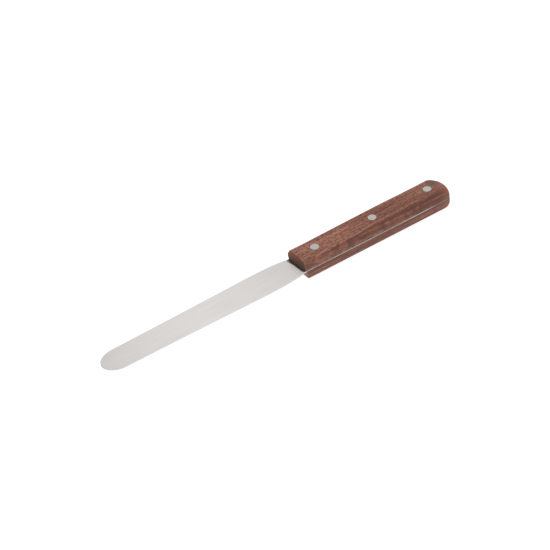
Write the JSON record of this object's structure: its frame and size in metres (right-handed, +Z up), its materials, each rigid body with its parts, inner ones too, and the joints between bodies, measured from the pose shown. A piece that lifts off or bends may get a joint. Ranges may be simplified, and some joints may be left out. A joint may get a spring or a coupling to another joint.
{
  "type": "palette knife",
  "caption": "Straight palette knife: long flexible round-ended steel blade on a full tang between riveted wooden scales, for mixing and scraping paint.",
  "frame": {"origin": "halfway between the tip and the butt, on the middle line, in the plane of the lower scale's flat underside", "axes": "+X along the knife towards the blade's tip, +Z up out of the blade's upper face, Y across the blade"},
  "size_m": [0.252, 0.0216, 0.015],
  "materials": {
    "blade_steel": "fine lengthwise satin",
    "handle_wood": "smooth oiled reddish-brown hardwood with fine dark pores",
    "rivet_steel": "ground flush, satin"
  },
  "bodies": {
    "root": {"blade": "blade_steel", "upper_scale": "handle_wood", "lower_scale": "handle_wood", "front_rivet_socket": "rivet_steel", "front_rivet_pin": "rivet_steel", "middle_rivet_socket": "rivet_steel", "middle_rivet_pin": "rivet_steel", "rear_rivet_socket": "rivet_steel", "rear_rivet_pin": "rivet_steel"}
  },
  "joints": []
}
